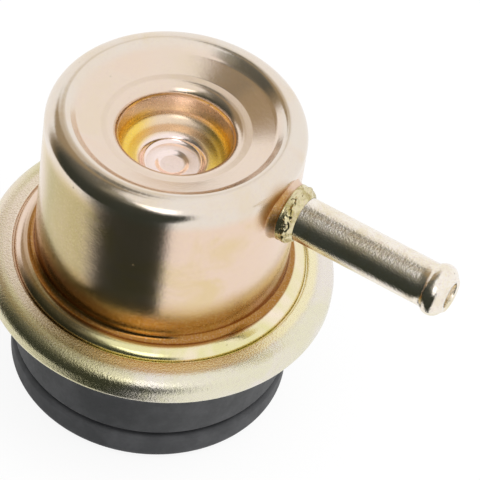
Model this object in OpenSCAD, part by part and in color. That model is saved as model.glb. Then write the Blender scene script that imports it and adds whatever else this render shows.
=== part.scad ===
// Fuel pressure regulator with a side vacuum nipple and a plug-in lower end.
// Axis along Z, seat of the crimped flange at z = 0, nipple along +X, millimetres.

/* [Spring housing] */
// Outside diameter of the drawn shell
shell_d = 30; // [29:0.5:34]
// Height of the crest above the flange seat
shell_h = 26.3; // [25.8:0.5:30.8]
// Sheet thickness of both drawn cups
sheet_t = 0.8; // [0.6:0.1:0.8]
// Outer radius where the wall turns into the crest
crown_r = 2.4; // [2.2:0.1:2.8]
// Radius of the crest on its inner side
crest_r = 0.9; // [0.9:0.1:1.1]
// Steepness of the dished band beside the crest, in degrees
dish_steep = 50; // [44:1:54]
// Steepness of the dished band at its inner edge, in degrees
dish_slope = 29; // [25:1:32]
// Rounding between the crest's flank and the dish
dish_r = 1.5; // [1:0.1:2]
// Diameter of the crease at the dished band's inner edge
crease_d = 17.4; // [17:0.1:18]
// Slope of the rim between crease and recess, in degrees
rim_slope = 4; // [2:1:8]
// Inside diameter of the calibration recess
recess_d = 13; // [12:0.1:13.4]
// Depth of the recess floor below the crest
recess_depth = 6.9; // [6.4:0.1:7.4]
// Radius of the lip into the recess
lip_r = 1.6; // [1.3:0.1:1.8]
// Radius at the foot of the recess wall
trough_r = 1.4; // [1:0.1:1.6]
// Radius from the axis where the recess floor turns down into the bowl
bowl_edge = 4.4; // [4.2:0.1:4.6]
// Diameter of the calibration punch mark
punch_d = 3.8; // [3:0.1:4]
// Depth of the punch mark
punch_depth = 0.25; // [0.1:0.05:0.4]

/* [Shoulder and crimp] */
// Hollow radius between wall and shoulder
foot_r = 0.8; // [0.5:0.1:1.2]
// Rounded shoulder radius
shoulder_r = 1.7; // [1.2:0.1:2.2]
// Height of the shoulder's straight foot above the flange
shoulder_rise = 0.2; // [0.1:0.1:0.6]
// Gap between shoulder and rolled lip
lip_gap = 0.1; // [0.1:0.05:0.3]
// Flat width of the rolled lip
lip_flat = 1.2; // [0.9:0.1:1.6]
// Outer bend radius of the rolled lip
roll_r = 2; // [1.8:0.1:2.4]
// Outer bend radius at the crimp's lower edge
heel_r = 1; // [0.9:0.1:1.2]

/* [Vacuum nipple] */
// Distance of the nipple's axis below the crest
nipple_drop = 5.8; // [5.4:0.1:8]
// Distance of the nipple's end from the main axis
nipple_reach = 36.5; // [32:0.5:44]
// Outside diameter of the tube
tube_d = 5.3; // [4.6:0.1:5.8]
// Bore of the nipple
nipple_bore = 2.9; // [2:0.1:3.2]
// Diameter of the hose bulb
bulb_d = 6.2; // [6:0.1:6.8]
// Length of the hose bulb
bulb_l = 3.4; // [3:0.1:4.5]
// Length of the bulb's straight land
bulb_land = 1; // [0.8:0.1:1.4]
// Diameter of the end face
end_d = 4.7; // [4.2:0.1:5]
// Diameter of the collar at the wall
collar_d = 6.8; // [6.4:0.1:7.6]
// Length of the collar outside the wall
collar_l = 2.4; // [1.8:0.1:3]
// Width of the braze round the collar
braze_w = 0.3; // [0.2:0.1:0.6]
// Length over which the braze runs down to the tube
braze_l = 0.9; // [0.5:0.1:1.2]

/* [Spring] */
// Mean diameter of the main spring
spring_d = 16.4; // [16:0.2:17.4]
// Wire diameter of the main spring
wire_d = 2; // [1.6:0.1:2.2]
// Number of turns
spring_turns = 4; // [3:0.5:4]
// Thickness of the spring seats
seat_t = 1; // [0.8:0.1:1.2]
// Height of the seats' rims and spigots above their plates
seat_rim = 0.9; // [0.6:0.1:1]
// Width of the lower seat's rim
rim_w = 0.8; // [0.6:0.1:1]

/* [Diaphragm] */
// Thickness of its clamped rim
clamped_t = 1.4; // [1:0.1:1.6]
// Thickness of the diaphragm
diaphragm_t = 0.6; // [0.5:0.1:0.8]
// Depth of its middle below the clamped rim
diaphragm_drop = 2; // [1.9:0.1:2.4]
// Bend radius of its fold
fold_r = 1.5; // [1.2:0.1:1.6]
// Steepness of the fold, in degrees
fold_angle = 60; // [50:1:65]
// Diameter of the backing washer
washer_d = 19.6; // [16:0.2:20]
// Thickness of the backing washer
washer_t = 0.8; // [0.6:0.1:1.2]

/* [Valve] */
// Diameter of the stem through the stack
stem_d = 6; // [5:0.2:7]
// Diameter of the rivet head on the stem
rivet_d = 8; // [7.6:0.2:9]
// Height of the rivet head
rivet_h = 0.8; // [0.5:0.1:1.2]
// Diameter of the carrier's head
head_d = 11; // [10.8:0.2:12]
// Material above the ball in the head
ball_cover = 0.9; // [0.6:0.1:1.4]
// Diameter of the ball
ball_d = 3; // [2.6:0.1:3.2]
// Depth of the ball's dimple in the plate
dimple_depth = 0.4; // [0.2:0.05:0.45]
// Diameter of the plate's upper rim
plate_d = 7.6; // [7.2:0.1:7.8]
// Diameter of the plate's sealing face
face_d = 6; // [5.8:0.1:6.4]
// Thickness of each of the plate's two steps
plate_step = 0.5; // [0.4:0.05:0.7]
// Thickness of the retaining ring
retainer_t = 0.4; // [0.3:0.05:0.45]
// Outside diameter of the retaining ring
retainer_d = 9.7; // [9.4:0.1:10]

/* [Lower cup] */
// Outside diameter of the lower cup
cup_d = 28; // [27:0.5:29]
// Depth of the lower cup below the flange seat
cup_depth = 9.2; // [8.8:0.2:10.2]
// Outer radius at the cup's bottom edge
cup_r = 1.6; // [1.2:0.1:2]
// Hollow radius under the flange
neck_r = 0.4; // [0.2:0.1:0.6]
// Diameter of the fuel inlets
inlet_d = 3; // [2:0.1:3.4]
// Pitch circle of the fuel inlets
inlet_pcd = 16.6; // [15.6:0.2:18]
// Number of fuel inlets
inlet_count = 6; // [3:1:8]

/* [Return tube] */
// Outside diameter of the return tube
return_d = 8; // [7.4:0.2:8.4]
// Bore of the return tube
return_bore = 4; // [3:0.1:4.6]
// Outside diameter of the valve seat's lip
seat_lip_d = 5.4; // [5:0.1:5.8]
// Height of the cone below the lip
seat_cone = 1.4; // [1:0.1:1.8]
// Diameter of the shoulder on the cup's floor
stop_d = 10.4; // [9.6:0.2:11]
// Thickness of that shoulder
stop_t = 0.8; // [0.6:0.1:1]
// Section diameter of the small seal
small_seal_d = 1.4; // [1:0.1:1.5]

/* [Carrier and strainer] */
// Wall of the carrier round the cup
carrier_wall = 2.6; // [2.4:0.05:3]
// Height of the carrier
carrier_h = 14.3; // [14:0.1:16.2]
// Height of the carrier's smooth upper band
band_h = 10.1; // [9.4:0.1:10.3]
// Floor thickness of the carrier
floor_t = 1.9; // [1.8:0.1:2.2]
// Wall left inside the large seal
land_wall = 0.9; // [0.8:0.1:1.2]
// Height of the foot that keeps the large seal on
foot_h = 0.6; // [0.4:0.1:0.8]
// How far that foot stands out
foot_out = 0.3; // [0.2:0.05:0.35]
// Width of the floor's and strainer's ribs
rib_w = 1.4; // [1:0.1:2]
// Number of ribs
rib_count = 6; // [3:1:8]
// Width of the strainer's rings
ring_w = 1; // [0.7:0.1:1.2]
// Outside diameter of the strainer
strainer_d = 24.6; // [23.6:0.2:24.8]
// Height of the strainer's spokes
spoke_h = 0.8; // [0.6:0.1:1.2]
// Thickness of the mesh
mesh_t = 0.3; // [0.2:0.05:0.4]
// Spacing of the mesh openings
mesh_pitch = 1.9; // [1.8:0.1:2.4]
// Width of a mesh wire
mesh_wire = 0.6; // [0.4:0.05:0.8]

/* [Large seal] */
// How far the large seal stands out past the carrier
seal_out = 0.12; // [0.08:0.02:0.3]
// Height of the large seal
seal_h = 3.9; // [3.6:0.1:4.2]
// How far the seal reaches below the carrier
seal_below = 0.3; // [0.1:0.05:0.4]
// Rounding of its upper edge
seal_top_r = 0.6; // [0.4:0.1:0.9]
// Rounding of its lower edge
seal_low_r = 1.4; // [0.8:0.1:1.4]

/* [Clearances] */
// Radial gap between parts that are pushed or brazed together
fit_gap = 0.03; // [0.02:0.01:0.06]
// Gap round parts that may move a little
play = 0.1; // [0.05:0.05:0.15]

/* [Hidden] */
$fn = 96;
eps = 0.01;
arc_steps = 8;
wire_sides = 10;
rings_per_turn = 24;

shell_r = shell_d / 2;
cup_or = cup_d / 2;

// Layers clamped in the crimp, from the lower flange up to the top of the rolled lip
clamp_low = sheet_t;
clamp_high = clamp_low + clamped_t;
flange_top = clamp_high + sheet_t;
crimp_top = flange_top + sheet_t;

// Radii of shoulder and crimp, each built out from the shell
ledge_r = shell_r + foot_r;
shoulder_or = ledge_r + shoulder_r;
shoulder_z = flange_top + shoulder_rise;
lip_ir = shoulder_or + lip_gap;
roll_cr = lip_ir + lip_flat;
crimp_r = roll_cr + roll_r;
bead_ir = roll_cr + 2 * play;

// Dished top
crest_cr = shell_r - crown_r;
crest_end_r = crest_cr - crest_r * sin(dish_steep);
crest_end_z = shell_h - crest_r * (1 - cos(dish_steep));
dish_end_r = crease_d / 2;
dish_cr = crest_end_r - dish_r * sin(dish_steep);
dish_cz = crest_end_z + dish_r * cos(dish_steep);
crease_r = 0.4;
crease_cr = dish_end_r - crease_r * sin(dish_slope);
dish_run = dish_cr + dish_r * sin(dish_slope) - dish_end_r;
crease_cz = dish_cz - (dish_r - crease_r) * cos(dish_slope) - dish_run * tan(dish_slope);
recess_r = recess_d / 2;
lip_cr = recess_r + lip_r;
rim_run = crease_cr + crease_r * sin(rim_slope) - lip_cr + lip_r * sin(rim_slope);
lip_cz = crease_cz - (crease_r + lip_r) * cos(rim_slope) - rim_run * tan(rim_slope);
recess_z = shell_h - recess_depth;
bowl_turn = 60;
bowl_top_r = 1;
bowl_r = 0.6;
bowl_foot_r = bowl_edge - (bowl_top_r + bowl_r) * sin(bowl_turn);
bowl_z = recess_z - (bowl_top_r + bowl_r) * (1 - cos(bowl_turn));
boss_tip_z = bowl_z - sheet_t;

// Nipple
nipple_z = shell_h - nipple_drop;
nipple_root = shell_r - 2 * sheet_t;
bulb_start = nipple_reach - bulb_l;
bulb_step = (bulb_l - bulb_land) / 2;

// Diaphragm stack, from the diaphragm's middle outwards
middle_top = clamp_high - diaphragm_drop;
middle_low = middle_top - diaphragm_t;
spring_foot_z = middle_top + seat_t;
washer_z = middle_low - washer_t;
spring_head_z = boss_tip_z - seat_t + seat_rim;
spring_len = spring_head_z - spring_foot_z;
spring_or = (spring_d + wire_d) / 2;
spring_ir = (spring_d - wire_d) / 2;
fold_cr = cup_or - sheet_t + fold_r - diaphragm_t - play;
fold_straight = (diaphragm_drop - 2 * fold_r * (1 - cos(fold_angle))) / sin(fold_angle);
middle_r = fold_cr - 2 * fold_r * sin(fold_angle) - fold_straight * cos(fold_angle);
lower_seat_r = spring_or + 2 * play + rim_w;

// Valve, from the carrier's head down to the seat
ball_z = washer_z - ball_cover - ball_d / 2;
plate_top = ball_z - ball_d / 2 + dimple_depth;
plate_mid = plate_top - plate_step;
valve_seat_z = plate_mid - plate_step;
retainer_top = plate_mid - play / 2;
head_low = retainer_top - retainer_t;
pocket_top = plate_top + 2 * play;

// Lower end
cup_floor = -cup_depth + sheet_t;
carrier_ir = cup_or + fit_gap;
carrier_or = carrier_ir + carrier_wall;
land_r = carrier_ir + land_wall;
carrier_low = -carrier_h;
carrier_floor = carrier_low + floor_t;
seal_low = carrier_low - seal_below;
seal_or = carrier_or + seal_out;
return_r = return_d / 2;
return_low = carrier_low + seal_below;
gland_r = return_r + small_seal_d + 2 * play;
strainer_or = strainer_d / 2;
strainer_ir = return_r + 3 * play;
mesh_z = carrier_floor + spoke_h;
mesh_or = strainer_or - ring_w - fit_gap;
mesh_ir = strainer_ir + ring_w + fit_gap;

// Points of a profile: radius, height, and the outward normal there
function bulge(cr, cz, r, from, to) = [for (i = [0:arc_steps])
    let (a = from + (to - from) * i / arc_steps) [cr + r * cos(a), cz + r * sin(a), cos(a), sin(a)]];
function hollow(cr, cz, r, from, to) = [for (i = [0:arc_steps])
    let (a = from + (to - from) * i / arc_steps) [cr + r * cos(a), cz + r * sin(a), -cos(a), -sin(a)]];
function flat(r, z, angle) = [[r, z, cos(angle), sin(angle)]];

// A pressed sheet: its outer path, and the same path moved in by the thickness
module pressed(path, t) {
    last = len(path) - 1;
    outer = [for (p = path) [p[0], p[1]]];
    inner = [for (i = [0:last]) let (p = path[last - i]) [p[0] - t * p[2], p[1] - t * p[3]]];
    rotate_extrude() polygon(concat(outer, inner));
}

module turned(points) rotate_extrude() polygon(points);

module ring(outer, inner, low, high) {
    difference() {
        translate([0, 0, low]) cylinder(r = outer, h = high - low);
        translate([0, 0, low - eps]) cylinder(r = inner, h = high - low + 2 * eps);
    }
}

module along_nipple() translate([0, 0, nipple_z]) rotate([0, 90, 0]) children();

module spokes(from, to, low, high) {
    for (i = [0:rib_count - 1])
        rotate([0, 0, 360 * (i + 0.5) / rib_count])
            translate([from, -rib_w / 2, low]) cube([to - from, rib_w, high - low]);
}

shell_path = concat(
    flat(roll_cr - play / 2, flange_top, 90),
    flat(shoulder_or + sheet_t, flange_top, 90),
    [[shoulder_or, flange_top, 1, 1]],
    bulge(ledge_r, shoulder_z, shoulder_r, 0, 90),
    hollow(ledge_r, shoulder_z + shoulder_r + foot_r, foot_r, 270, 180),
    bulge(crest_cr, shell_h - crown_r, crown_r, 0, 90),
    bulge(crest_cr, shell_h - crest_r, crest_r, 90, 90 + dish_steep),
    hollow(dish_cr, dish_cz, dish_r, dish_steep - 90, dish_slope - 90),
    hollow(crease_cr, crease_cz, crease_r, dish_slope - 90, rim_slope - 90),
    bulge(lip_cr, lip_cz, lip_r, 90 + rim_slope, 180),
    hollow(recess_r - trough_r, recess_z + trough_r, trough_r, 0, -90),
    bulge(bowl_edge, recess_z - bowl_top_r, bowl_top_r, 90, 90 + bowl_turn),
    hollow(bowl_foot_r, bowl_z + bowl_r, bowl_r, bowl_turn - 90, -90),
    flat(0, bowl_z, 90));

module spring_housing() color("khaki") difference() {
    pressed(shell_path, sheet_t);
    along_nipple() translate([0, 0, nipple_root]) cylinder(d = tube_d + 2 * fit_gap, h = shell_d);
    translate([0, 0, bowl_z - punch_depth]) cylinder(d = punch_d, h = bowl_r);
}

module vacuum_nipple() color("darkkhaki") along_nipple() turned([
    [nipple_bore / 2, nipple_root],
    [tube_d / 2, nipple_root],
    [tube_d / 2, bulb_start],
    [bulb_d / 2, bulb_start + bulb_step],
    [bulb_d / 2, bulb_start + bulb_step + bulb_land],
    for (p = bulge(0, 0, 1, 0, 90))
        [end_d / 2 + (bulb_d - end_d) / 2 * p[0], nipple_reach - bulb_step * (1 - p[1])],
    [nipple_bore / 2, nipple_reach]]);

module braze_fillet() color("gold") difference() {
    along_nipple() turned([
        [0, shell_r / 2],
        [collar_d / 2 + braze_w, shell_r / 2],
        [collar_d / 2 + braze_w, shell_r],
        [collar_d / 2, shell_r + braze_w],
        [collar_d / 2, shell_r + collar_l - braze_l],
        [tube_d / 2, shell_r + collar_l],
        [0, shell_r + collar_l]]);
    cylinder(r = shell_r + fit_gap, h = shell_h);
    along_nipple() cylinder(d = tube_d + 2 * fit_gap, h = shell_d);
}

module upper_spring_seat() color("silver") turned([
    [0, boss_tip_z - seat_t],
    [spring_ir - play, boss_tip_z - seat_t],
    [spring_ir - play, spring_head_z],
    [spring_or + play, spring_head_z],
    [spring_or + play, spring_head_z + seat_t - play],
    [spring_ir - play, spring_head_z + seat_t - play],
    [bowl_foot_r + seat_t, boss_tip_z],
    [0, boss_tip_z]]);

// Height of the wire's centre along the spring, with the end turns drawn together
function rise(u) = wire_d / 2 + (spring_len - wire_d) * (u - 0.55 * sin(360 * u) / 360 * 180 / PI);

module pressure_spring() color("dimgray") {
    last = spring_turns * rings_per_turn;
    points = [for (i = [0:last], s = [0:wire_sides - 1])
        let (turn = 360 * i / rings_per_turn, a = 360 * s / wire_sides,
            r = spring_d / 2 + wire_d / 2 * cos(a))
        [r * cos(turn), r * sin(turn), spring_foot_z + rise(i / last) + wire_d / 2 * sin(a)]];
    sides = [for (i = [0:last - 1], s = [0:wire_sides - 1])
        let (n = (s + 1) % wire_sides, a = i * wire_sides, b = a + wire_sides)
        [a + s, a + n, b + n, b + s]];
    start = [for (s = [0:wire_sides - 1]) wire_sides - 1 - s];
    finish = [for (s = [0:wire_sides - 1]) last * wire_sides + s];
    polyhedron(points, concat([start], sides, [finish]), convexity = 10);
}

module lower_spring_seat() color("silver") turned([
    [stem_d / 2 + fit_gap, middle_top],
    [lower_seat_r, middle_top],
    [lower_seat_r, spring_foot_z + seat_rim],
    [lower_seat_r - rim_w, spring_foot_z + seat_rim],
    [lower_seat_r - rim_w, spring_foot_z],
    [stem_d / 2 + fit_gap, spring_foot_z]]);

diaphragm_path = concat(
    flat(bead_ir, clamp_high, 90),
    bulge(fold_cr, clamp_high - fold_r, fold_r, 90, 90 + fold_angle),
    hollow(middle_r, middle_top + fold_r, fold_r, fold_angle - 90, -90),
    flat(stem_d / 2 + fit_gap, middle_top, 90));

module diaphragm() color("saddlebrown") {
    bead_or = roll_cr + roll_r - sheet_t - 2 * play - sheet_t / 4;
    pressed(diaphragm_path, diaphragm_t);
    ring(bead_or, bead_ir - eps, clamp_low, clamp_high + play);
    ring(bead_ir, ledge_r, clamp_low, clamp_high);
}

module diaphragm_washer() color("silver")
    ring(washer_d / 2, stem_d / 2 + fit_gap, washer_z, middle_low);

module valve_carrier() color("goldenrod") difference() {
    turned([
        [0, head_low],
        [head_d / 2, head_low],
        [head_d / 2, washer_z],
        [stem_d / 2, washer_z],
        [stem_d / 2, spring_foot_z],
        [rivet_d / 2, spring_foot_z],
        [rivet_d / 2 - rivet_h / 2, spring_foot_z + rivet_h],
        [0, spring_foot_z + rivet_h]]);
    translate([0, 0, ball_z]) sphere(d = ball_d + play);
    translate([0, 0, head_low - eps]) cylinder(d = ball_d + play, h = ball_z - head_low + eps);
    translate([0, 0, head_low - eps]) cylinder(d = plate_d + 4 * play, h = pocket_top - head_low + eps);
    translate([0, 0, head_low - eps]) cylinder(d = retainer_d + 2 * fit_gap, h = retainer_t + eps);
}

module valve_ball() color("lightgray") translate([0, 0, ball_z]) sphere(d = ball_d);

module valve_plate() color("gainsboro") difference() {
    union() {
        translate([0, 0, plate_mid]) cylinder(d = plate_d, h = plate_step);
        translate([0, 0, valve_seat_z]) cylinder(d = face_d, h = plate_step + eps);
    }
    translate([0, 0, ball_z]) sphere(d = ball_d + fit_gap);
}

module plate_retainer() color("silver")
    ring(retainer_d / 2, face_d / 2 + 2 * play, head_low, retainer_top);

cup_path = concat(
    flat(lip_ir, crimp_top, 90),
    bulge(roll_cr, crimp_top - roll_r, roll_r, 90, 0),
    bulge(crimp_r - heel_r, heel_r, heel_r, 0, -90),
    hollow(cup_or + neck_r, -neck_r, neck_r, 90, 180),
    bulge(cup_or - cup_r, cup_r - cup_depth, cup_r, 0, -90),
    flat(return_r + fit_gap, -cup_depth, -90));

module valve_housing() color("khaki") difference() {
    pressed(cup_path, sheet_t);
    for (i = [0:inlet_count - 1])
        rotate([0, 0, 360 * (i + 0.25) / inlet_count]) translate([inlet_pcd / 2, 0, -cup_depth - eps])
            cylinder(d = inlet_d, h = sheet_t + 2 * eps, $fn = 48);
}

module return_tube() color("lightsteelblue") turned([
    [return_bore / 2, return_low],
    [return_r, return_low],
    [return_r, cup_floor],
    [stop_d / 2, cup_floor],
    [stop_d / 2, cup_floor + stop_t],
    [return_r, cup_floor + stop_t],
    [return_r, valve_seat_z - seat_cone],
    [seat_lip_d / 2, valve_seat_z],
    [return_bore / 2, valve_seat_z]]);

module strainer_frame() color("ivory") difference() {
    ring(strainer_or, strainer_ir, carrier_floor, -cup_depth);
    difference() {
        ring(strainer_or - ring_w, strainer_ir + ring_w, carrier_floor - eps, -cup_depth + eps);
        spokes(strainer_ir, strainer_or, carrier_floor - 2 * eps, mesh_z);
    }
}

module strainer_mesh() color("lightgray") difference() {
    half = floor(mesh_or / mesh_pitch);
    hole = mesh_pitch - mesh_wire;
    reach = mesh_pitch * 0.7;
    ring(mesh_or, mesh_ir, mesh_z, mesh_z + mesh_t);
    for (i = [-half:half], j = [-half:half])
        if (norm([i, j]) * mesh_pitch > mesh_ir + reach && norm([i, j]) * mesh_pitch < mesh_or - reach)
            translate([i * mesh_pitch - hole / 2, j * mesh_pitch - hole / 2, mesh_z - eps])
                cube([hole, hole, mesh_t + 2 * eps]);
}

module carrier_windows() difference() {
    ring(strainer_or - ring_w, strainer_ir + 2 * ring_w, carrier_low - eps, carrier_floor + eps);
    spokes(strainer_ir, strainer_or, carrier_low - 2 * eps, carrier_floor + 2 * eps);
}

module seal_carrier() color("dimgray") difference() {
    edge_r = 0.5;
    turned(concat(
        [[return_r + fit_gap, carrier_floor], [carrier_ir, carrier_floor], [carrier_ir, -2 * neck_r],
            [carrier_ir + 2 * neck_r, 0], [carrier_or, 0]],
        [for (p = bulge(carrier_or - edge_r, edge_r - band_h, edge_r, 0, -90)) [p[0], p[1]]],
        [[land_r, -band_h], [land_r, carrier_low + foot_h], [land_r + foot_out, carrier_low + foot_h],
            [land_r + foot_out / 2, carrier_low], [return_r + fit_gap, carrier_low]]));
    carrier_windows();
    translate([0, 0, carrier_low - eps]) cylinder(r = gland_r, h = small_seal_d + eps);
}

module rail_seal() color("darkslategray") {
    high = seal_low + seal_h;
    notch_r = land_r + foot_out + fit_gap;
    notch_z = carrier_low + foot_h + fit_gap;
    turned(concat(
        [[notch_r, seal_low], [notch_r, notch_z], [land_r + fit_gap, notch_z], [land_r + fit_gap, high]],
        [for (p = bulge(seal_or - seal_top_r, high - seal_top_r, seal_top_r, 90, 0)) [p[0], p[1]]],
        [for (p = bulge(seal_or - seal_low_r, seal_low + seal_low_r, seal_low_r, 0, -90)) [p[0], p[1]]]));
}

module return_seal() color("black")
    translate([0, 0, carrier_low + small_seal_d / 2 + fit_gap / 2])
        rotate_extrude() translate([return_r + small_seal_d / 2 + fit_gap, 0])
            circle(d = small_seal_d - fit_gap, $fn = 32);

spring_housing();
vacuum_nipple();
braze_fillet();
upper_spring_seat();
pressure_spring();
lower_spring_seat();
diaphragm();
diaphragm_washer();
valve_carrier();
valve_ball();
valve_plate();
plate_retainer();
valve_housing();
return_tube();
strainer_frame();
strainer_mesh();
seal_carrier();
rail_seal();
return_seal();
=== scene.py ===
import math

import bpy
import numpy as np
from mathutils import Matrix, Vector, noise


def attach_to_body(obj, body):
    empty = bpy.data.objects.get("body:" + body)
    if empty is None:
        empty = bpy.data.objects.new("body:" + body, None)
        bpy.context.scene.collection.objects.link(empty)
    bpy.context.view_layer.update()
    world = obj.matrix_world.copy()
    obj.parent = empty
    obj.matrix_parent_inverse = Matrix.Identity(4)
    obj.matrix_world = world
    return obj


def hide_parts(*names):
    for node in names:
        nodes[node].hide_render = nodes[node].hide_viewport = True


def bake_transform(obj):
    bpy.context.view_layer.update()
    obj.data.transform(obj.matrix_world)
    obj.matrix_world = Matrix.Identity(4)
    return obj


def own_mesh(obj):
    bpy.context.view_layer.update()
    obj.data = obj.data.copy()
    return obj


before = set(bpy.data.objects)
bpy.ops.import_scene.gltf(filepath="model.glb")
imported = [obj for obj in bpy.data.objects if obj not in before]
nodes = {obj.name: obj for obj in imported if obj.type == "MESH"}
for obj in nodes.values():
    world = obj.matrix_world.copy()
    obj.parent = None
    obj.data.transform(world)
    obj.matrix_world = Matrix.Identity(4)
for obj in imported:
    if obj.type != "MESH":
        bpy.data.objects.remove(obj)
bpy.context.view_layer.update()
mm = 0.001
# Noise stays mostly between these values
wideSpan, narrowSpan = (0.3, 0.7), (0.35, 0.65)
print("frame loaded")


# A socket with arithmetic, so that node trees read as formulas
class Wire:
    def __init__(self, tree, socket):
        self.tree, self.socket = tree, socket

    def add(self, kind, values=None, out=0, **settings):
        node = self.tree.nodes.new(kind)
        for name, value in settings.items():
            setattr(node, name, value)
        for key, value in (values or {}).items():
            feed(self.tree, node.inputs[key], value)
        return Wire(self.tree, node.outputs[out])

    def math(self, operation, *values):
        return self.add("ShaderNodeMath", dict(enumerate(values)), operation=operation)

    def __add__(self, other): return self.math("ADD", self, other)
    def __radd__(self, other): return self.math("ADD", other, self)
    def __sub__(self, other): return self.math("SUBTRACT", self, other)
    def __rsub__(self, other): return self.math("SUBTRACT", other, self)
    def __mul__(self, other): return self.math("MULTIPLY", self, other)
    def __rmul__(self, other): return self.math("MULTIPLY", other, self)
    def __truediv__(self, other): return self.math("DIVIDE", self, other)

    def step(self, low, high, to=(0, 1), curve="SMOOTHSTEP"):
        limits = {"Value": self, "From Min": low, "From Max": high, "To Min": to[0], "To Max": to[1]}
        return self.add("ShaderNodeMapRange", limits, interpolation_type=curve)

    def line(self, low, high, to=(0, 1)):
        return self.step(low, high, to, "LINEAR")

    def mix(self, first, second):
        return self.add("ShaderNodeMix", {0: self, 6: first, 7: second}, out=2, data_type="RGBA")

    def scaled(self, factor):
        return self.add("ShaderNodeVectorMath", {0: self, 1: factor}, operation="MULTIPLY")

    def dot(self, other):
        return self.add("ShaderNodeVectorMath", {0: self, 1: other}, out="Value", operation="DOT_PRODUCT")

    def length(self):
        return self.add("ShaderNodeVectorMath", {0: self}, out="Value", operation="LENGTH")

    def part(self, axis):
        return self.add("ShaderNodeSeparateXYZ", {0: self}, out=axis)

    def grain(self, scale, detail=2.0, rough=0.5, warp=0.0):
        return self.add("ShaderNodeTexNoise", {"Vector": self, "Scale": scale, "Detail": detail,
                        "Roughness": rough, "Distortion": warp})


def feed(tree, socket, value):
    if isinstance(value, Wire):
        tree.links.new(value.socket, socket)
    elif socket.type == "RGBA" and len(value) == 3:
        socket.default_value = (*value, 1)
    else:
        socket.default_value = value


# An empty material; returns it, its shader and the object's coordinates in millimetres
def newMaterial(name):
    material = bpy.data.materials.new(name)
    material.use_nodes = True
    tree = material.node_tree
    shader = tree.nodes["Principled BSDF"]
    start = Wire(tree, tree.nodes.new("ShaderNodeTexCoord").outputs["Object"])
    return material, shader, start.scaled((1000, 1000, 1000))


def setShader(shader, values):
    for key, value in values.items():
        feed(shader.id_data, shader.inputs[key], value)


def bump(height, distance):
    return height.add("ShaderNodeBump", {"Height": height, "Distance": distance * mm, "Strength": 1.0})


# Yellow chromate over zinc: pinkish, golden and greenish patches with a fine orange-peel surface
def chromate(name, look, zones):
    material, shader, place = newMaterial(name)
    patch = place.grain(look["patchScale"], 3, 0.55, 0.6)
    tint = patch.step(*look["patchRange"]).mix(look["pink"], look["gold"])
    tint, soft = zones(place, tint, patch)
    flake = place.grain(look["flakeScale"], 2, 0.6)
    tint = (flake.step(*look["flakeUp"]) * look["flakeShare"]).mix(tint, look["flakeHigh"])
    tint = (flake.step(*look["flakeDown"]) * look["flakeShare"]).mix(tint, look["flakeLow"])
    pits = place.grain(look["pitScale"], 1, 0.4).step(*look["pitRange"])
    tint = (pits * look["pitShare"]).mix(tint, look["pit"])
    peel = place.grain(look["peelScale"], 3, 0.6)
    roll = place.grain(look["rippleScale"], 2, 0.5)
    height = peel * look["peel"] + roll * look["ripple"] - pits * look["pitDepth"]
    rough = peel.line(*wideSpan, look["rough"]) + soft
    setShader(shader, {"Base Color": tint, "Metallic": 1.0, "Roughness": rough, "Normal": bump(height, 1.0)})
    return material


def blackMould(name, look):
    material, shader, place = newMaterial(name)
    fine = place.grain(look["grainScale"], 4, 0.65)
    dust = place.grain(0.35, 3, 0.6)
    tint = dust.step(0.35, 0.75).mix(look["dark"], look["pale"])
    rough = fine.line(*wideSpan, look["rough"])
    setShader(shader, {"Base Color": tint, "Roughness": rough, "Specular IOR Level": look["gloss"],
              "Normal": bump(fine, look["grain"])})
    return material


def plainMetal(name, look):
    material, shader, place = newMaterial(name)
    turned = place.scaled(look["lay"]).grain(1.0, 3, 0.6)
    stain = place.grain(0.3, 3, 0.5)
    tint = stain.step(0.4, 0.75).mix(look["tint"], look["stain"])
    rough = turned.line(*wideSpan, look["rough"])
    setShader(shader, {"Base Color": tint, "Metallic": 1.0, "Roughness": rough,
              "Normal": bump(turned, look["marks"])})
    return material


def softStuff(name, look):
    material, shader, place = newMaterial(name)
    weave = place.grain(look["scale"], 2, 0.6)
    tint = weave.step(0.35, 0.7).mix(look["first"], look["second"])
    rough = weave.line(*wideSpan, look["rough"])
    setShader(shader, {"Base Color": tint, "Roughness": rough, "Normal": bump(weave, look["depth"])})
    return material


# Profile points: radius, height and outward normal
def bulge(cr, cz, r, start, end, steps=24):
    out = []
    for i in range(steps + 1):
        a = math.radians(start + (end - start) * i / steps)
        out.append((cr + r * math.cos(a), cz + r * math.sin(a), math.cos(a), math.sin(a)))
    return out


def hollow(cr, cz, r, start, end, steps=24):
    return [(p[0], p[1], -p[2], -p[3]) for p in bulge(cr, cz, r, start, end, steps)]


def straight(first, last, normal, steps):
    (r, z), dr, dz = first, last[0] - first[0], last[1] - first[1]
    return [(r + dr * i / steps, z + dz * i / steps, *normal) for i in range(steps + 1)]


# Carries a path on through a hollow bend, from one slope to another
def concave(path, r, first, last, steps=12):
    x, z = path[-1][:2]
    for i in range(1, steps + 1):
        a, b = math.radians(first), math.radians(first + (last - first) * i / steps)
        path.append((x - r * (math.sin(a) - math.sin(b)), z - r * (math.cos(b) - math.cos(a)),
                     -math.sin(b), math.cos(b)))


# Closes a path into a sheet of even thickness
def sheetLoop(path, thick):
    inner = [(max(r - thick * nr, 0), z - thick * nz) for r, z, nr, nz in reversed(path)]
    loop = [(p[0], p[1]) for p in path] + inner
    return [p for i, p in enumerate(loop) if math.dist(p, loop[i - 1]) > 1e-6]


# A mesh from points and faces, shaded smooth with sharp edges above an angle
def makePiece(name, points, faces, material, sharp=40):
    mesh = bpy.data.meshes.new(name)
    mesh.from_pydata([tuple(c * mm for c in p) for p in points], [], faces)
    mesh.validate()
    mesh.shade_smooth()
    mesh.set_sharp_from_angle(angle=math.radians(sharp))
    mesh.materials.append(material)
    piece = bpy.data.objects.new(name, mesh)
    bpy.context.scene.collection.objects.link(piece)
    return piece


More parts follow.
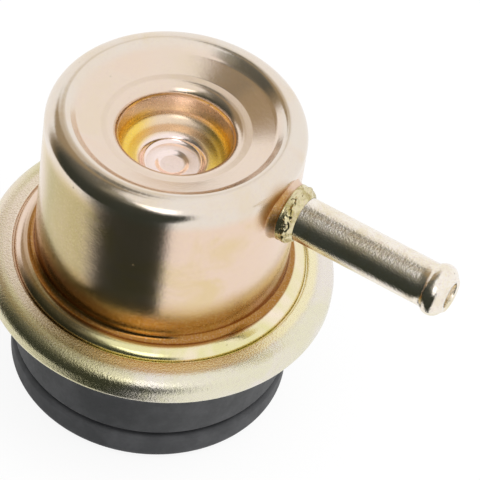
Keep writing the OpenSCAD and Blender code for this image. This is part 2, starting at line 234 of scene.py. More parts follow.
# Turns a closed loop about Z, or about X at the given height
def lathe(name, loop, material, segments=256, alongX=None):
    points, rows, faces = [], [], []
    turns = [2 * math.pi * i / segments for i in range(segments)]
    for r, z in loop:
        if r < 1e-6:
            rows.append([len(points)] * segments)
            points.append((0, 0, z))
        else:
            rows.append(list(range(len(points), len(points) + segments)))
            points += [(r * math.cos(a), r * math.sin(a), z) for a in turns]
    for below, above in zip(rows, rows[1:] + rows[:1]):
        if below[0] == below[1] and above[0] == above[1]:
            continue
        for i in range(segments):
            j = (i + 1) % segments
            corners = [below[i], below[j], above[j], above[i]]
            faces.append([c for k, c in enumerate(corners) if c != corners[k - 1]])
    if alongX is not None:
        points = [(z, y, -x + alongX) for x, y, z in points]
    return makePiece(name, points, faces, material)


# Cuts plain cylinders out of a piece and keeps the result as its mesh
def drill(piece, holes):
    cutters = []
    for r, length, place in holes:
        bpy.ops.mesh.primitive_cylinder_add(vertices=64, radius=r * mm, depth=length * mm)
        cutter = bpy.context.object
        cutter.data.transform(place)
        cutters.append(cutter)
        cut = piece.modifiers.new("cut", "BOOLEAN")
        cut.object, cut.solver = cutter, "EXACT"
    result = bpy.data.meshes.new_from_object(piece.evaluated_get(bpy.context.evaluated_depsgraph_get()))
    piece.modifiers.clear()
    piece.data = result
    for cutter in cutters:
        bpy.data.objects.remove(cutter)


def attach(piece, node, body="housing"):
    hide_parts(node)
    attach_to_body(piece, body)


# Spring housing
oliveSide = (-0.903, -0.429, 0)
heatSpot = (14.9, -2.4, 22.6)
shellLook = {"patchScale": 0.16, "patchRange": (0.4, 0.7), "pink": (0.83, 0.64, 0.51),
             "gold": (0.78, 0.60, 0.36), "flakeScale": 3.4, "flakeShare": 0.16, "flakeUp": (0.52, 0.66),
             "flakeDown": (0.46, 0.34), "flakeHigh": (0.84, 0.72, 0.46), "flakeLow": (0.74, 0.56, 0.50),
             "pitScale": 1.5, "pitRange": (0.79, 0.85), "pitShare": 0.5, "pitDepth": 0.02,
             "pit": (0.3, 0.25, 0.18), "peelScale": 3.6, "peel": 0.006, "rippleScale": 0.55, "ripple": 0.010,
             "rough": (0.13, 0.2)}
# Among these colours the recess amber is partly the film's gold and partly painted reflection; the gold and
# brown at the wall's foot and the dark of the shoulder bead are painted reflection and shade
shellZone = {"green": (0.47, 0.38, 0.145), "crest": (0.80, 0.73, 0.65), "dish": (0.82, 0.66, 0.54),
             "recess": (0.95, 0.66, 0.09), "recessTop": (0.84, 0.66, 0.49), "bowl": (0.96, 0.81, 0.77),
             "footBounceGold": (0.60, 0.37, 0.12), "footShadeBrown": (0.36, 0.155, 0.025), "shoulder": (0.94, 0.82, 0.66),
             "shoulderFilm": (0.80, 0.76, 0.40), "shoulderLeft": (0.82, 0.64, 0.52),
             "shoulderReflectDark": (0.34, 0.27, 0.14), "heat": (0.50, 0.25, 0.05)}
# Where each colour begins and where it is full, in millimetres
shellBand = {"olive": (4.5, 9.5), "oliveEnd": (12.8, 14.6), "oliveTop": (24.5, 21.5), "crest": (22.4, 24.4),
             "dish": (12.4, 11.2), "recess": (7.1, 6.5), "recessTop": (23.4, 22.6), "bounceSideBand": (2.0, 5.0),
             "bounceTopBand": (21.6, 22.8), "bowl": (4.3, 3.7), "bowlTop": (21.5, 20.5), "wall": (15.95, 15.7),
             "footBounceGold": (13.4, 10.4), "footShadeBrown": (10.6, 8.6), "bead": (15.7, 15.95), "beadTop": (6, 5),
             "beadReflectDark": (3, 9), "beadLeft": (13.4, 15.8), "heat": (4.6, 2.4)}
shellShare = {"oliveEnd": 0.85, "recess": 0.92, "bowl": 0.95, "footBounceGold": 0.75, "footShadeBrown": 0.95, "bead": 0.9,
              "heat": 0.92, "recessRough": 0.12, "heatRough": 0.25}
shell = {"r": 15.0, "h": 26.3, "t": 0.8, "crown": 2.2, "crest": 1.0, "steep": 42, "flank": 0.8, "slope": 21,
         "dish": 1.5, "crease": 8.7, "creaseR": 0.4, "rimSlope": 4, "lip": 1.6, "recess": 6.5, "trough": 1.4,
         "floorZ": 19.4, "bowlEdge": 4.4, "bowlTop": 1.0, "bowl": 0.6, "bowlTurn": 60, "mark": 2.1,
         "markDepth": 0.25, "ledge": 15.8, "foot": 0.8, "shoulder": 1.5, "shoulderZ": 3.4,
         "shoulderStep": 0.12, "wallLow": 7, "wallHigh": 23, "flangeTop": 3.0, "flangeIn": 0.8,
         "flangeR": 18.75, "hole": 2.68, "holeX": 14.5, "holeZ": 20.5, "holeLength": 6}


# Share of the heat stain beside the nipple
def heatStain(place, patch):
    away = place.add("ShaderNodeVectorMath", {0: place, 1: heatSpot}, operation="SUBTRACT").length()
    return (away + patch * 2).step(*shellBand["heat"])


# Olive on one side of the wall, pale crest, amber recess film deepened by painted reflection, silvery bowl,
# painted reflection and shade at the bronze foot, a painted dark reflection on the shoulder bead, heat stain
# at the nipple
def shellZones(place, tint, patch):
    zone, band, share = shellZone, shellBand, shellShare
    r, z, left = place.scaled((1, 1, 0)).length(), place.part("Z"), place.dot(oliveSide)
    drift = place.scaled((1, 1, 0.35)).grain(0.14, 3, 0.55).line(*narrowSpan, (0.8, 1))
    olive = left.step(*band["olive"]) * (1 - left.step(*band["oliveEnd"]) * share["oliveEnd"])
    olive = olive * z.step(*band["oliveTop"])
    tint = (drift * olive).mix(tint, zone["green"])
    tint = (z.step(*band["crest"]) * patch.line(*narrowSpan, (0.95, 0.6))).mix(tint, zone["crest"])
    tint = (r.step(*band["dish"]) * patch.line(*narrowSpan, (0.9, 0.4))).mix(tint, zone["dish"])
    inside = r.step(*band["recess"]) * z.step(*band["recessTop"])
    # Painted reflection: the recess's gold film is deepened to amber on its left and right sides and low on
    # its wall, where light bounces between the recess walls
    bounceSides = left.math("ABSOLUTE", left).step(*band["bounceSideBand"])
    bounceAmber = bounceSides.mix(zone["recessTop"], zone["recess"])
    wall = (z + patch * 2).step(*band["bounceTopBand"]).mix(bounceAmber, zone["recessTop"])
    tint = (inside * share["recess"]).mix(tint, wall)
    bowl = r.step(*band["bowl"]) * z.step(*band["bowlTop"])
    tint = (bowl * share["bowl"]).mix(tint, zone["bowl"])
    # Painted reflection and shade at the wall's foot: gold low on the wall where it mirrors the shoulder,
    # deep brown at the foot and in the hollow beside the bead
    near = r.step(*band["wall"])
    tint = ((z + patch * 3).step(*band["footBounceGold"]) * near * share["footBounceGold"]).mix(tint, zone["footBounceGold"])
    tint = ((z + patch * 2).step(*band["footShadeBrown"]) * near * share["footShadeBrown"]).mix(tint, zone["footShadeBrown"])
    film = patch.line(0.38, 0.6).mix(zone["shoulder"], zone["shoulderFilm"])
    # Painted reflection: the shoulder bead's film is darkened over the olive side, short of its outermost
    # part, standing in for the dark front left of the tent
    bead = left.step(*band["beadReflectDark"]).mix(film, zone["shoulderReflectDark"])
    bead = left.step(*band["beadLeft"]).mix(bead, zone["shoulderLeft"])
    tint = (r.step(*band["bead"]) * z.step(*band["beadTop"]) * share["bead"]).mix(tint, bead)
    stain = heatStain(place, patch)
    tint = (stain * share["heat"]).mix(tint, zone["heat"])
    return tint, inside * (1 - bowl) * share["recessRough"] + stain * share["heatRough"]


def shellProfile(s):
    sine, cosine = (lambda a: math.sin(math.radians(a))), (lambda a: math.cos(math.radians(a)))
    crestR, beadR = s["r"] - s["crown"], s["ledge"] + s["shoulder"]
    path = straight((s["flangeR"], s["flangeTop"]), (beadR + s["flangeIn"], s["flangeTop"]), (0, 1), 2)
    stepZ = s["shoulderZ"] + s["shoulderStep"]
    path += [(beadR + s["shoulderStep"], z, 1, 1) for z in (s["flangeTop"], stepZ)]
    path += bulge(s["ledge"], s["shoulderZ"], s["shoulder"], 5, 90)
    path += hollow(s["ledge"], s["shoulderZ"] + s["shoulder"] + s["foot"], s["foot"], 270, 180)
    path += straight((s["r"], s["wallLow"]), (s["r"], s["wallHigh"]), (1, 0), 8)
    path += bulge(crestR, s["h"] - s["crown"], s["crown"], 0, 90)
    path += bulge(crestR, s["h"] - s["crest"], s["crest"], 90, 90 + s["steep"])
    path += straight(path[-1][:2], (path[-1][0] - s["flank"] * cosine(s["steep"]),
                     path[-1][1] - s["flank"] * sine(s["steep"])), path[-1][2:], 2)[1:]
    concave(path, s["dish"], s["steep"], s["slope"])
    x, z = path[-1][:2]
    path += straight((x, z), (s["crease"], z - (x - s["crease"]) * math.tan(math.radians(s["slope"]))),
                     (-sine(s["slope"]), cosine(s["slope"])), 6)
    concave(path, s["creaseR"], s["slope"], s["rimSlope"])
    lipStart = s["recess"] + s["lip"] - s["lip"] * sine(s["rimSlope"])
    lipZ = path[-1][1] - (path[-1][0] - lipStart) * math.tan(math.radians(s["rimSlope"]))
    path += bulge(s["recess"] + s["lip"], lipZ - s["lip"] * cosine(s["rimSlope"]), s["lip"],
                  90 + s["rimSlope"], 180)
    path += hollow(s["recess"] - s["trough"], s["floorZ"] + s["trough"], s["trough"], 0, -90)
    path += bulge(s["bowlEdge"], s["floorZ"] - s["bowlTop"], s["bowlTop"], 90, 90 + s["bowlTurn"])
    concave(path, s["bowl"], s["bowlTurn"], 0)
    bowlZ = path[-1][1]
    loop = sheetLoop(path + [(0, bowlZ, 0, 1)], s["t"])
    start = next(i for i, p in enumerate(loop) if p[0] == 0)
    mark, steps = [], 16
    for i in range(steps + 1):
        t, fall = i / steps, min(1, 3 * i / steps)
        mark.append((s["mark"] * (1 - t), bowlZ - s["markDepth"] * fall ** 2 * (3 - 2 * fall)))
    return loop[:start] + mark + loop[start + 1:]


shellMetal = chromate("shellMetal", shellLook, shellZones)
housing = lathe("springShell", shellProfile(shell), shellMetal, 192)
nippleHole = Matrix.Translation((shell["holeX"] * mm, 0, shell["holeZ"] * mm))
nippleHole = nippleHole @ Matrix.Rotation(math.pi / 2, 4, "Y")
drill(housing, [(shell["hole"], shell["holeLength"], nippleHole)])
attach(housing, "spring_housing")
print("spring housing made")

# Crimped lower cup
crimpLook = {**shellLook, "pink": (0.82, 0.76, 0.70), "gold": (0.79, 0.75, 0.58), "patchRange": (0.38, 0.66),
             "flakeScale": 3.2, "flakeShare": 0.3, "flakeHigh": (0.82, 0.78, 0.52),
             "flakeLow": (0.70, 0.60, 0.54), "peelScale": 4.2, "peel": 0.045, "ripple": 0.012,
             "rough": (0.2, 0.3)}
crimpZone = {"olive": (0.66, 0.60, 0.30), "rose": (0.88, 0.75, 0.66), "lip": (0.95, 0.86, 0.52),
             "lipLeft": (0.95, 0.82, 0.72)}
crimpBand = {"olive": (3, 15), "rose": (15.5, 19.5), "lip": (18.7, 18.0), "lipTop": (3.2, 3.6),
             "lipLeft": (6, 15)}
crimpShare = {"olive": 0.75, "rose": 0.7, "lip": 0.75}
cup = {"lip": 17.43, "top": 3.8, "tilt": 0.08, "rollC": 18.8, "roll": 2.0, "rollStart": 84, "crimp": 20.8,
       "heel": 1.0, "wall": 14.0, "neck": 0.4, "edge": 0.22, "corner": 1.6, "depth": 9.2, "hole": 4.03,
       "t": 0.8, "inlets": 6, "inletR": 1.5, "inletAt": 8.3, "inletTurn": 0.25, "inletLength": 3}


# Olive on one side with rose at its far end, pale gold on the lip's flat
def crimpZones(place, tint, patch):
    zone, band = crimpZone, crimpBand
    r, left = place.scaled((1, 1, 0)).length(), place.dot(oliveSide)
    spread = (left + patch * 14).step(*band["olive"])
    tint = (spread * crimpShare["olive"]).mix(tint, zone["olive"])
    tint = (left.step(*band["rose"]) * crimpShare["rose"]).mix(tint, zone["rose"])
    lip = (r - patch * 0.6).step(*band["lip"]) * place.part("Z").step(*band["lipTop"])
    flat = left.step(*band["lipLeft"]).mix(zone["lip"], zone["lipLeft"])
    return (lip * crimpShare["lip"]).mix(tint, flat), 0.0


def cupProfile(c):
    path = bulge(c["lip"] + c["edge"], c["top"] - c["edge"], c["edge"], 180, 90, 8)
    path = [(r, z + (c["rollC"] - r) * c["tilt"], c["tilt"], 1) for r, z, nr, nz in path]
    path += straight(path[-1][:2], (c["rollC"], c["top"]), (c["tilt"], 1), 4)
    path += bulge(c["rollC"], c["top"] - c["roll"], c["roll"], c["rollStart"], 0)
    path += bulge(c["crimp"] - c["heel"], c["heel"], c["heel"], 0, -90)
    path += hollow(c["wall"] + c["neck"], -c["neck"], c["neck"], 90, 180)
    path += bulge(c["wall"] - c["corner"], c["corner"] - c["depth"], c["corner"], 0, -90)
    path += [(c["hole"], -c["depth"], 0, -1)]
    return sheetLoop(path, c["t"])[::-1]


crimpMetal = chromate("crimpMetal", crimpLook, crimpZones)
lowerCup = lathe("crimpedCup", cupProfile(cup), crimpMetal)
inlets = []
for i in range(cup["inlets"]):
    angle = 2 * math.pi * (i + cup["inletTurn"]) / cup["inlets"]
    spot = (cup["inletAt"] * math.cos(angle) * mm, cup["inletAt"] * math.sin(angle) * mm,
            (cup["t"] / 2 - cup["depth"]) * mm)
    inlets.append((cup["inletR"], cup["inletLength"], Matrix.Translation(spot)))
drill(lowerCup, inlets)
attach(lowerCup, "valve_housing")
print("crimped cup made")

# Vacuum nipple
nippleLook = {**shellLook, "pink": (0.92, 0.86, 0.78), "gold": (0.85, 0.76, 0.60), "patchScale": 0.3,
              "flakeScale": 3.4, "flakeShare": 0.35, "peelScale": 3.8, "peel": 0.03, "ripple": 0.010,
              "rough": (0.10, 0.18)}
nippleUnder = {"tint": (0.70, 0.60, 0.26), "band": (20.6, 18.6), "share": 0.85}
nipple = {"axisZ": 20.5, "root": 13.4, "chamfer": 0.1, "tube": 2.65, "plain": 15, "plainGap": 2, "rings": 6,
          "ballX": 34.9, "ball": 1.4, "ballFoot": 0.15, "flare": (0.03, 0.06), "ballFrom": 0.92, "ballTo": 64,
          "bulb": 3.1, "end": 36.5, "face": 2.0, "bore": 1.45, "mouth": ((0.2, 0), (0.06, 0.1), (0, 0.35))}


def nippleProfile(n):
    line = [(n["bore"], n["root"]), (n["tube"] - n["chamfer"], n["root"]),
            (n["tube"], n["root"] + n["chamfer"])]
    line += [(n["tube"], n["ballX"] - n["plainGap"] - n["plain"] * (1 - i / n["rings"]))
             for i in range(n["rings"] + 1)]
    centre, begin = n["bulb"] - n["ball"], math.acos((n["tube"] + n["ball"] - n["bulb"]) / n["ball"])
    foot = n["ballX"] - n["ball"] * math.sin(begin) - n["ballFoot"]
    line += [(n["tube"], foot), (n["tube"] + n["flare"][0], foot + n["flare"][1])]
    for i in range(29):
        a = -begin * n["ballFrom"] + (math.radians(n["ballTo"]) + begin * n["ballFrom"]) * i / 28
        line.append((centre + n["ball"] * math.cos(a), n["ballX"] + n["ball"] * math.sin(a)))
    return line + [(n["face"], n["end"])] + [(n["bore"] + out, n["end"] - back) for out, back in n["mouth"]]


# Yellower film on the underside
def nippleZones(place, tint, patch):
    under = (place.part("Z") + patch * 1.5).step(*nippleUnder["band"])
    return (under * nippleUnder["share"]).mix(tint, nippleUnder["tint"]), 0.0


nippleMetal = chromate("nippleMetal", nippleLook, nippleZones)
stem = lathe("hoseNipple", nippleProfile(nipple), nippleMetal, 128, nipple["axisZ"])
attach(stem, "vacuum_nipple")

# Braze round the nipple, crinkled where it cooled
brazeLook = {**nippleLook, "pink": (0.74, 0.66, 0.42), "gold": (0.42, 0.34, 0.12), "patchScale": 0.8,
             "peelScale": 3.0, "peel": 0.03, "ripple": 0.03, "rough": (0.14, 0.26)}
braze = {"wall": 15.0, "wallR": 14.96, "saddle": 0.9, "foot": 3.85, "rise": 0.68, "collar": 3.42,
         "edge": ((0.05, 15.74), (0.06, 15.82), (0.02, 15.92), (0, 16.2), (-0.02, 16.6), (-0.3, 17.05)),
         "tip": (0.12, 17.4), "end": 17.5, "endStep": 0.01, "tube": 2.68, "axisZ": 20.5,
         "rootBand": (15.72, 15.62), "rootRough": 0.3, "neck": 0.02, "around": 200, "along": 56,
         "crinkle": 0.22, "crinkleScale": 1.7, "crinkleFrom": 16.05, "crinkleOver": 0.4, "crinkleMost": 0.5}


def brazePiece(b, material):
    outline = []
    for i in range(15):
        a = math.radians(90 * i / 14)
        outline.append((b["foot"] - (b["foot"] - b["collar"] + b["neck"]) * math.sin(a),
                        b["wall"] + b["rise"] * (1 - math.cos(a))))
    outline += [(b["collar"] + out, x) for out, x in b["edge"]]
    outline += [(b["tube"] + b["tip"][0], b["tip"][1]), (b["tube"] + b["endStep"], b["end"])]
    lengths = np.cumsum([0] + [math.dist(p, q) for p, q in zip(outline, outline[1:])])
    spread = np.linspace(0, lengths[-1], b["along"])
    radii = np.interp(spread, lengths, [p[0] for p in outline])
    reach = np.interp(spread, lengths, [p[1] for p in outline])
    points, faces = [], []
    for i in range(b["around"]):
        a = 2 * math.pi * i / b["around"]
        dy, dz = math.cos(a), math.sin(a)
        for k in range(b["along"] + 2):
            inner = k >= b["along"]
            r = b["tube"] if inner else radii[k]
            x = (b["end"] if k == b["along"] else b["wall"]) if inner else reach[k]
            drop = max(0.0, 1 - max(0.0, x - b["wall"]) / b["saddle"])
            if not inner and 0 < k < b["along"] - 1:
                spot = Vector((x, r * dy, r * dz)) * b["crinkleScale"]
                begun = min(1.0, max(0.0, (x - b["crinkleFrom"]) / b["crinkleOver"]))
                lift = noise.fractal(spot, 0.7, 2.1, 3) * begun * math.sin(math.pi * k / (b["along"] - 1))
                r = max(r + b["crinkle"] * min(lift, b["crinkleMost"]), b["tube"])
            saddle = math.sqrt(b["wallR"] ** 2 - (r * dy) ** 2) - b["wall"]
            points.append((x + saddle * drop, r * dy, b["axisZ"] + r * dz))
    rows = b["along"] + 2
    for i in range(b["around"]):
        j = (i + 1) % b["around"]
        for k in range(rows):
            n = (k + 1) % rows
            faces.append([i * rows + k, i * rows + n, j * rows + n, j * rows + k][::-1])
    return makePiece("brazeRing", points, faces, material, 60)


# The root takes the wall's own film and heat stain
def brazeZones(place, tint, patch):
    root = place.part("X").step(*braze["rootBand"])
    tint = root.mix(tint, shellLook["pink"])
    stain = root * heatStain(place, patch) * shellShare["heat"]
    return stain.mix(tint, shellZone["heat"]), root * braze["rootRough"]


brazeMetal = chromate("brazeMetal", brazeLook, brazeZones)
collar = brazePiece(braze, brazeMetal)
attach(collar, "braze_fillet")
print("nipple and braze made")

# Black carrier and large seal
mouldLook = {"grainScale": 2.2, "grain": 0.012, "dark": (0.040, 0.041, 0.043), "pale": (0.060, 0.061, 0.064),
             "rough": (0.5, 0.62), "gloss": 0.4}
rubberLook = {"grainScale": 1.6, "grain": 0.01, "dark": (0.048, 0.049, 0.052), "pale": (0.070, 0.071, 0.075),
              "rough": (0.58, 0.7), "gloss": 0.35}
sealShape = {"in": 14.96, "notch": 15.26, "low": -14.6, "high": -10.7, "notchZ": -13.67, "out": 16.75,
             "topRound": 0.6, "lowRound": 1.4}


def sealProfile(s):
    loop = [(s["notch"], s["low"]), (s["notch"], s["notchZ"]), (s["in"], s["notchZ"]), (s["in"], s["high"])]
    loop += [p[:2] for p in bulge(s["out"] - s["topRound"], s["high"] - s["topRound"], s["topRound"], 90, 0)]
    loop += [p[:2] for p in bulge(s["out"] - s["lowRound"], s["low"] + s["lowRound"], s["lowRound"], 0, -90)]
    return loop[::-1]


mouldBlack = blackMould("mouldBlack", mouldLook)
rubberBlack = blackMould("rubberBlack", rubberLook)
bigSeal = lathe("railSealRing", sealProfile(sealShape), rubberBlack)
attach(bigSeal, "rail_seal")
print("seal made")

# Strainer cloth of woven threads, trimmed to the ring between the frame's two rims
cloth = {"pitch": 0.6, "thread": 0.078, "sway": 0.07, "inner": 5.36, "outer": 11.24, "level": -11.45}


def weaveTree():
    tree = bpy.data.node_groups.new("weave", "GeometryNodeTree")
    tree.interface.new_socket("Geometry", in_out="OUTPUT", socket_type="NodeSocketGeometry")
    for name in cloth:
        tree.interface.new_socket(name, in_out="INPUT", socket_type="NodeSocketFloat")
    tree.interface.new_socket("material", in_out="INPUT", socket_type="NodeSocketMaterial")
    given = tree.nodes.new("NodeGroupInput")
    pitch, thread, sway, inner, outer, level, material = (Wire(tree, o) for o in list(given.outputs)[:7])
    make = pitch.add
    half = pitch.math("CEIL", outer / pitch)
    reach = half * pitch
    vector = lambda x, y, z: make("ShaderNodeCombineXYZ", {0: x, 1: y, 2: z})
    across = make("GeometryNodeMeshLine", {"Count": half * 2 + 1, "Start Location": vector(-1 * reach, 0, 0),
                  "Offset": vector(pitch, 0, 0)})
    strand = make("GeometryNodeMeshLine", {"Count": half * 8 + 1, "Start Location": vector(0, -1 * reach, 0),
                  "Offset": vector(0, pitch / 4, 0)})
    rows = make("GeometryNodeInstanceOnPoints", {"Points": across, "Instance": strand})
    rows = make("GeometryNodeRealizeInstances", {0: rows})
    turned = make("GeometryNodeTransform", {"Geometry": rows, "Rotation": (0, 0, math.pi / 2)})
    spot = make("GeometryNodeInputPosition")
    wave = pitch.math("COSINE", (spot.part("X") + spot.part("Y")) / pitch * math.pi) * sway
    both = tree.nodes.new("GeometryNodeJoinGeometry")
    for threads, way in ((rows, 1.0), (turned, -1.0)):
        lift = vector(0, 0, level + wave * way)
        laid = make("GeometryNodeSetPosition", {"Geometry": threads, "Offset": lift})
        tree.links.new(laid.socket, both.inputs[0])
    r = spot.scaled((1, 1, 0)).length()
    sides = {0: r.math("GREATER_THAN", r, outer), 1: r.math("LESS_THAN", r, inner)}
    off = make("FunctionNodeBooleanMath", sides, operation="OR")
    left = make("GeometryNodeDeleteGeometry", {"Geometry": Wire(tree, both.outputs[0]), "Selection": off})
    ring = make("GeometryNodeCurvePrimitiveCircle", {"Resolution": 6, "Radius": thread})
    lines = make("GeometryNodeMeshToCurve", {0: left})
    tubes = make("GeometryNodeCurveToMesh", {"Curve": lines, "Profile Curve": ring, "Fill Caps": True})
    plain = make("GeometryNodeRealizeInstances", {0: make("GeometryNodeSetShadeSmooth", {0: tubes})})
    done = make("GeometryNodeSetMaterial", {"Geometry": plain, "Material": material})
    tree.links.new(done.socket, tree.nodes.new("NodeGroupOutput").inputs[0])
    return tree


def weavePiece(material):
    piece = bpy.data.objects.new("strainerCloth", bpy.data.meshes.new("strainerCloth"))
    bpy.context.scene.collection.objects.link(piece)
    grow = piece.modifiers.new("weave", "NODES")
    grow.node_group = weaveTree()
    for item in grow.node_group.interface.items_tree:
        if item.in_out == "INPUT":
            grow[item.identifier] = material if item.name == "material" else cloth[item.name] * mm
    bpy.context.view_layer.update()
    made = bpy.data.meshes.new_from_object(piece.evaluated_get(bpy.context.evaluated_depsgraph_get()))
    piece.modifiers.clear()
    piece.data = made
    return piece


# Materials of the inner parts, most of which keep their own shape
looks = {
    "steel": {"lay": (1, 1, 9), "rough": (0.25, 0.4), "tint": (0.56, 0.55, 0.53), "stain": (0.45, 0.43, 0.4),
              "marks": 0.004},
    "wire": {"lay": (1, 1, 1), "rough": (0.3, 0.45), "tint": (0.22, 0.22, 0.23), "stain": (0.15, 0.14, 0.13),
             "marks": 0.006},
    "brass": {"lay": (1, 1, 9), "rough": (0.22, 0.34), "tint": (0.72, 0.52, 0.22),
              "stain": (0.55, 0.38, 0.15), "marks": 0.004},
    "fabric": {"scale": 3.0, "first": (0.06, 0.035, 0.022), "second": (0.1, 0.06, 0.04), "rough": (0.6, 0.8),
               "depth": 0.02},
    "nylon": {"scale": 0.8, "first": (0.72, 0.69, 0.58), "second": (0.78, 0.76, 0.66), "rough": (0.4, 0.55),
              "depth": 0.006}}
steel = plainMetal("plainSteel", looks["steel"])
wire = plainMetal("springWire", looks["wire"])
brass = plainMetal("turnedBrass", looks["brass"])
fabric = softStuff("diaphragmFabric", looks["fabric"])
nylon = softStuff("naturalNylon", looks["nylon"])
kept = {"upper_spring_seat": steel, "lower_spring_seat": steel, "diaphragm_washer": steel,
        "valve_carrier": brass, "valve_ball": steel, "valve_plate": steel, "plate_retainer": steel,
        "return_tube": steel, "strainer_frame": nylon, "seal_carrier": mouldBlack, "return_seal": rubberBlack}
for name, material in kept.items():
    nodes[name].data.materials.clear()
    nodes[name].data.materials.append(material)
attach(weavePiece(nylon), "strainer_mesh")
print("strainer cloth woven, materials set on kept nodes")

# Main spring with closed, ground ends
coil = {"r": 8.2, "wire": 1.0, "turns": 4, "foot": 1.22, "head": 17.68, "grip": 0.55, "grind": 0.35,
        "sides": 16, "perTurn": 56, "lift": 1.0}


def coilPiece(c, material):
    points, faces, last, sides = [], [], c["turns"] * c["perTurn"], c["sides"]
    low, high = c["foot"] + c["wire"] - c["grind"], c["head"] - c["wire"] + c["grind"]
    for i in range(last + 1):
        u, a = i / last, 2 * math.pi * i / c["perTurn"]
        z = low + (high - low) * (u - c["grip"] * math.sin(2 * math.pi * u) / (2 * math.pi))
        for k in range(sides):
            b = 2 * math.pi * k / sides
            r, level = c["r"] + c["wire"] * math.cos(b), z + c["wire"] * math.sin(b)
            points.append((r * math.cos(a), r * math.sin(a), min(max(level, c["foot"]), c["head"])))
    for i in range(last):
        for k in range(sides):
            n = (k + 1) % sides
            faces.append([i * sides + k, (i + 1) * sides + k, (i + 1) * sides + n, i * sides + n])
    faces += [list(range(sides)), [last * sides + k for k in reversed(range(sides))]]
    return makePiece("mainSpring", points, faces, material, 50)


mainSpring = coilPiece(coil, wire)
attach(mainSpring, "pressure_spring")
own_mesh(mainSpring)

# Diaphragm: a clamped rim, and a fold in its middle
web = {"t": 0.6, "high": 2.2, "low": 0.8, "rimIn": 15.8, "gap": 0.01, "beadIn": 19.0, "beadOut": 19.6,
       "bead": 0.1, "round": 0.25, "fold": 1.5, "foldR": 14.0, "foldTurn": 60, "middleR": 11.11,
       "middle": 0.2, "bore": 3.03}


def webRim(w):
    loop = bulge(w["beadOut"] - w["round"], w["low"] + w["round"], w["round"], -90, 0, 6)
    loop += bulge(w["beadOut"] - w["round"], w["high"] + w["bead"] - w["round"], w["round"], 0, 90, 6)
    return [p[:2] for p in loop] + [(w["beadIn"], w["high"] + w["bead"]), (w["beadIn"], w["high"]),
                                    (w["rimIn"], w["high"]), (w["rimIn"], w["low"])]


def webFold(w):
    path = [(w["rimIn"] - w["gap"], w["high"], 0, 1)]
    path += bulge(w["foldR"], w["high"] - w["fold"], w["fold"], 90, 90 + w["foldTurn"], 12)
    path += hollow(w["middleR"], w["middle"] + w["fold"], w["fold"], w["foldTurn"] - 90, -90, 12)
    return sheetLoop(path + [(w["bore"], w["middle"], 0, 1)], w["t"])


webEdge = lathe("diaphragmRim", webRim(web), fabric, 128)
attach(webEdge, "diaphragm")
webMiddle = lathe("diaphragmFold", webFold(web), fabric, 128)
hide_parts("diaphragm")
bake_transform(webMiddle)
print("spring and diaphragm made")

# Floor, which the camera sees as nearly white
ground = {"z": -14.6 * mm, "r": 3.0, "corners": 96, "tone": (0.9, 0.9, 0.9), "whiteShare": 0.88}


def floorMaterial(g):
    material = bpy.data.materials.new("paleFloor")
    material.use_nodes = True
    tree = material.node_tree
    tree.nodes.clear()
    path = tree.nodes.new("ShaderNodeLightPath")
    camera = Wire(tree, path.outputs["Is Camera Ray"])
    plain = camera.add("ShaderNodeBsdfDiffuse", {"Color": g["tone"]})
    white = camera.add("ShaderNodeEmission", {"Color": (1, 1, 1), "Strength": 1.0})
    seen = camera.add("ShaderNodeMixShader", {0: camera * g["whiteShare"], 1: plain, 2: white})
    out = tree.nodes.new("ShaderNodeOutputMaterial")
    tree.links.new(seen.socket, out.inputs["Surface"])
    return material


bpy.ops.mesh.primitive_circle_add(vertices=ground["corners"], radius=ground["r"], fill_type="NGON",
                                  location=(0, 0, ground["z"]))
floor = bpy.context.object
floor.name = "studioFloor"
floor.data.materials.append(floorMaterial(ground))
floor.visible_glossy = False

view = {"azimuth": 25.43, "elevation": 46.44, "roll": 8.93, "distance": 350.65, "shift": (-9.035, 0.159),
        "centre": (0, 0, 7.86), "lens": 225, "sensor": 36, "near": 0.01}
tent = {"white": (1, 1, 1), "gloomLow": (0.038, 0.043, 0.034), "gloomHigh": (0.2, 0.19, 0.155),
        "gloomGlow": (0.3, 0.29, 0.24), "gloomSide": (0.36, 0.28, 0.17), "behind": (0.6, 0.52, 0.4),
        "overhead": (0.19, 0.18, 0.15), "lampBoost": 1.2}


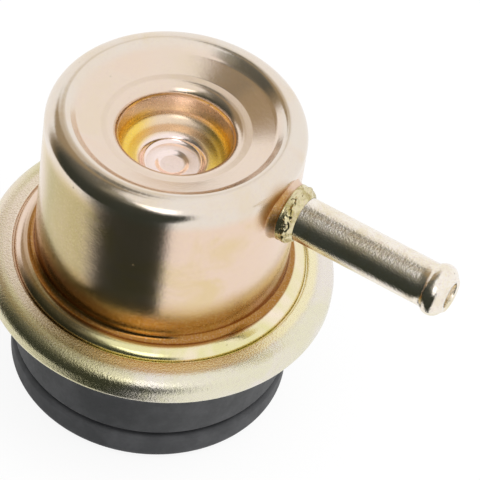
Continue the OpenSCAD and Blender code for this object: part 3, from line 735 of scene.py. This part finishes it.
# White tent, seen with its parts only in reflections: a dark opening at the front left, a lamp above the
# camera, and a warm and a grey panel behind. Turn and rise are in degrees, from the camera's side and level
def studioWorld(v, t):
    world = bpy.data.worlds.new("studio")
    bpy.context.scene.world = world
    world.use_nodes = True
    tree = world.node_tree
    tree.nodes.clear()
    path = tree.nodes.new("ShaderNodeLightPath")
    gloss = Wire(tree, path.outputs["Is Glossy Ray"])
    way = Wire(tree, tree.nodes.new("ShaderNodeTexCoord").outputs["Generated"])
    a = math.radians(v["azimuth"])
    across = way.dot((math.cos(a), math.sin(a), 0))
    ahead = way.dot((math.sin(a), -math.cos(a), 0))
    turn = way.math("ARCTAN2", across, ahead) * (180 / math.pi)
    rise = way.math("ARCSINE", way.part("Z")) * (180 / math.pi)
    wrapped = turn.math("FLOORED_MODULO", turn, 360)
    edge = rise.line(-50, -24, (-56, -112)) - rise.line(20, 30, (0, 33)) + rise.line(34, 75, (0, 23))
    leftSide = (turn - edge).step(-8, 6)
    rightSide = 1 - (turn - rise.line(-46, -10, (6, 21))).step(-5, 6)
    top = turn.line(-90, -30, (82, 46)) - turn.line(-30, 0, (0, 30))
    dark = leftSide * rightSide * (1 - (rise - top).step(-8, 8))
    gloom = rise.step(0, 80).mix(t["gloomLow"], t["gloomHigh"])
    glow = turn.step(-62, -52) * turn.step(-34, -44) * rise.step(22, 46) * rise.step(66, 56)
    gloom = glow.mix(gloom, t["gloomGlow"])
    gloom = turn.step(-92, -116).mix(gloom, t["gloomSide"])
    behind = wrapped.step(168, 204) * (1 - wrapped.step(235, 260)) * rise.step(34, 44)
    colour = (behind * (1 - rise.step(54, 62))).mix(t["white"], t["behind"])
    colour = dark.mix(colour, gloom)
    overhead = wrapped.step(182, 196) * (1 - wrapped.step(232, 240))
    overhead = overhead * rise.step(56, 61) * (1 - rise.step(73, 78))
    colour = overhead.mix(colour, t["overhead"])
    lamp = turn.step(-41, -29) * (1 - turn.step(4, 16)) * rise.step(16, 26) * (1 - rise.step(41, 46))
    shade = way.add("ShaderNodeBackground", {"Color": colour, "Strength": 1.0 + lamp * t["lampBoost"]})
    plain = way.add("ShaderNodeBackground", {"Color": t["white"], "Strength": 1.0})
    both = way.add("ShaderNodeMixShader", {0: gloss, 1: plain, 2: shade})
    out = tree.nodes.new("ShaderNodeOutputWorld")
    tree.links.new(both.socket, out.inputs["Surface"])


studioWorld(view, tent)


def setCamera(v):
    a, e, roll = (math.radians(v[k]) for k in ("azimuth", "elevation", "roll"))
    right = Vector((math.cos(a), math.sin(a), 0))
    back = Vector((math.sin(a) * math.cos(e), -math.cos(a) * math.cos(e), math.sin(e)))
    up = back.cross(right)
    place = Vector(v["centre"]) - v["shift"][0] * right - v["shift"][1] * up + v["distance"] * back
    x = math.cos(roll) * right + math.sin(roll) * up
    y = -math.sin(roll) * right + math.cos(roll) * up
    camera = bpy.data.objects.new("camera", bpy.data.cameras.new("camera"))
    camera.data.lens, camera.data.sensor_width = v["lens"], v["sensor"]
    camera.data.clip_start = v["near"]
    camera.matrix_world = Matrix((x, y, back)).transposed().to_4x4()
    camera.location = place * mm
    bpy.context.scene.collection.objects.link(camera)
    bpy.context.scene.camera = camera


setCamera(view)


def softLamp(name, place, size, power):
    lamp = bpy.data.objects.new(name, bpy.data.lights.new(name, "AREA"))
    lamp.data.size, lamp.data.energy = size, power
    lamp.location = place
    lamp.rotation_euler = (-Vector(place)).to_track_quat("-Z", "Y").to_euler()
    lamp.visible_glossy = False
    bpy.context.scene.collection.objects.link(lamp)


keyLamp = {"place": (0.5, 0.2, 0.8), "size": 0.6, "power": 4.0}
softLamp("keyLamp", **keyLamp)
bpy.context.scene.view_settings.view_transform = "Standard"
print("stage set")
